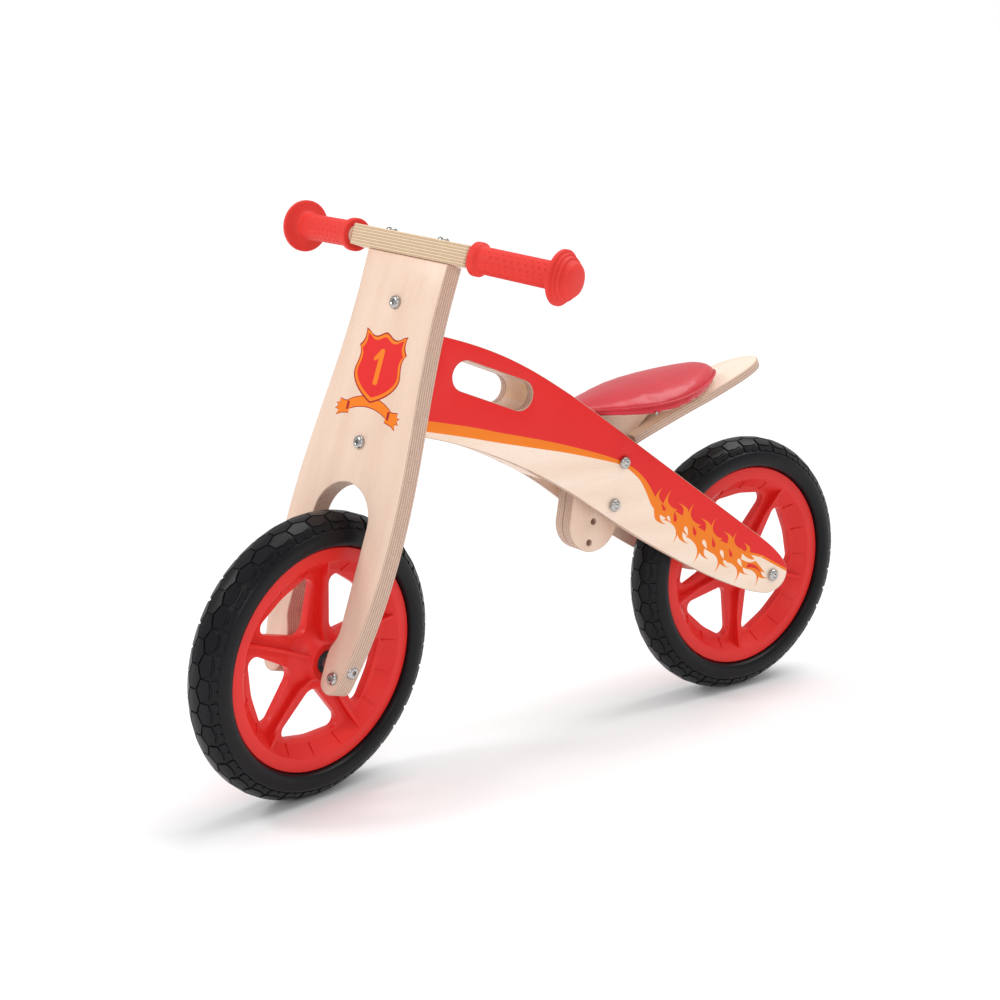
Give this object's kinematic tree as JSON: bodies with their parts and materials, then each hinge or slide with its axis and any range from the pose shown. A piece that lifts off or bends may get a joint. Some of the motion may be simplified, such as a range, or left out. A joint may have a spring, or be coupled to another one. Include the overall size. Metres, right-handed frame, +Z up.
{
  "type": "balance bike",
  "caption": "Child's wooden balance bike with a plywood fork that steers, bent side panels, spoked wheels and a padded saddle",
  "frame": {"origin": "on the ground, in the plane of symmetry, midway between the axles", "axes": "+X towards the rear of the bike, -Y its left side, +Z up"},
  "size_m": [0.8427, 0.3789, 0.5638],
  "materials": {
    "birch": "satin lacquer over birch plywood",
    "painted": "birch plywood with a printed red, orange and bare face",
    "rim_red": "moulded satin plastic",
    "tyre_black": "moulded foam rubber, zigzag tread",
    "grip_red": "matte, dimpled",
    "vinyl_red": "glossy coated vinyl",
    "steel": "bright plated",
    "nylon": "moulded"
  },
  "bodies": {
    "frame": {"left_side_panel": "painted", "right_side_panel": "painted", "head_block": "birch", "upper_head_bush": "nylon", "lower_head_bush": "nylon", "seat_post_left": "birch", "seat_post_right": "birch", "tail_board": "birch", "saddle_base": "birch", "saddle_pad": "vinyl_red", "saddle_rest": "birch", "saddle_screw_front": "steel", "saddle_screw_rear": "steel", "tail_screw_left": "steel", "tail_screw_right": "steel", "post_bolt_upper": "steel", "post_bolt_lower": "steel", "post_nut_upper": "steel", "post_nut_lower": "steel", "post_spacer_upper_left": "steel", "post_spacer_upper_right": "steel", "post_spacer_lower_left": "steel", "post_spacer_lower_right": "steel", "rear_axle_bolt": "steel", "rear_axle_nut": "steel", "rear_axle_spacer_left": "steel", "rear_axle_spacer_right": "steel"},
    "rear_wheel": {"rear_rim": "rim_red", "rear_tyre": "tyre_black", "rear_bearing_left": "steel", "rear_bearing_right": "steel"},
    "fork": {"fork_board": "birch", "upper_steering_eye": "steel", "lower_steering_eye": "steel", "upper_eye_bolt": "steel", "lower_eye_bolt": "steel", "steering_pin": "steel", "steering_pin_nut": "steel", "upper_thrust_washer": "nylon", "lower_thrust_washer": "nylon", "handlebar_board": "birch", "handlebar_bolt_left": "steel", "handlebar_bolt_right": "steel", "grip_left": "grip_red", "grip_right": "grip_red", "foot_screw_left": "steel", "foot_screw_right": "steel", "front_axle_bolt": "steel", "front_axle_nut": "steel", "front_axle_spacer_left": "steel", "front_axle_spacer_right": "steel"},
    "front_wheel": {"front_rim": "rim_red", "front_tyre": "tyre_black", "front_bearing_left": "steel", "front_bearing_right": "steel"}
  },
  "joints": [
    {"name": "steering", "type": "hinge", "parent": "frame", "child": "fork", "pos_m": [-0.2495, 0, 0.13563], "axis": [0.3123, 0, 0.95], "range_deg": [-53.65, 30.35]},
    {"name": "front_wheel_spin", "type": "hinge", "parent": "fork", "child": "front_wheel", "pos_m": [-0.27741, -0.00606, 0.14481], "axis": [-0.1918, 0.9794, 0.0631], "continuous": true},
    {"name": "rear_wheel_spin", "type": "hinge", "parent": "frame", "child": "rear_wheel", "pos_m": [0.278, 0, 0.145], "axis": [0, 1, 0], "continuous": true}
  ]
}
